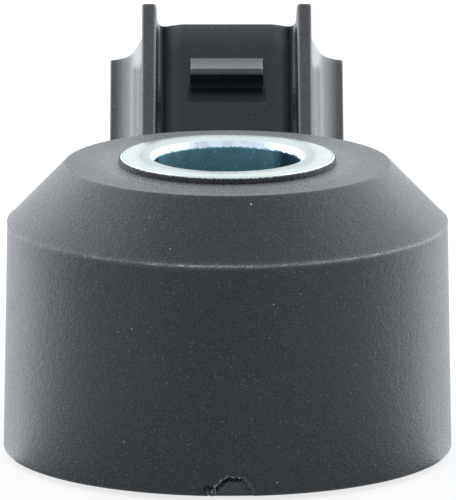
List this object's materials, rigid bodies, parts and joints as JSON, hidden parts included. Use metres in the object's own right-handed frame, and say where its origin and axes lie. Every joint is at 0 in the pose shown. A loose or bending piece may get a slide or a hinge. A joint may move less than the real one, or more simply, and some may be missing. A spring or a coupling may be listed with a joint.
{
  "type": "engine knock sensor",
  "caption": "Ring-shaped engine knock sensor: black moulded housing on a steel bolt sleeve, with a slanted plug socket at the back.",
  "frame": {"origin": "on the bolt axis, in the mounting face of the steel sleeve", "axes": "+Z along the bolt axis, away from the engine; +Y towards the plug socket"},
  "size_m": [0.0258, 0.0425, 0.0216],
  "materials": {
    "housing_plastic": "fine spark-eroded grain, slightly dusty",
    "plated_steel": "turned steel with pale zinc plating",
    "insulating_film": "amber film",
    "contact_brass": "stamped, bare",
    "piezo_ceramic": "fired and silvered",
    "mass_steel": "turned",
    "spring_steel": "blued",
    "nut_steel": "plated",
    "tinned_terminal": "tin-plated, stamped",
    "resistor_rod": "film on ceramic rod",
    "resistor_cap": "pressed, tinned",
    "tinned_wire": "tinned wire"
  },
  "bodies": {
    "root": {"moulded_housing": "housing_plastic", "pressure_sleeve": "plated_steel", "lower_insulating_washer": "insulating_film", "insulating_tube": "insulating_film", "upper_insulating_washer": "insulating_film", "lower_contact_ring": "contact_brass", "upper_contact_ring": "contact_brass", "piezo_ring": "piezo_ceramic", "seismic_mass": "mass_steel", "disc_spring": "spring_steel", "clamp_nut": "nut_steel", "ground_terminal": "tinned_terminal", "signal_terminal": "tinned_terminal", "shunt_resistor": "resistor_rod", "resistor_cap_left": "resistor_cap", "resistor_cap_right": "resistor_cap", "resistor_lead_left": "tinned_wire", "resistor_lead_right": "tinned_wire"}
  },
  "joints": []
}
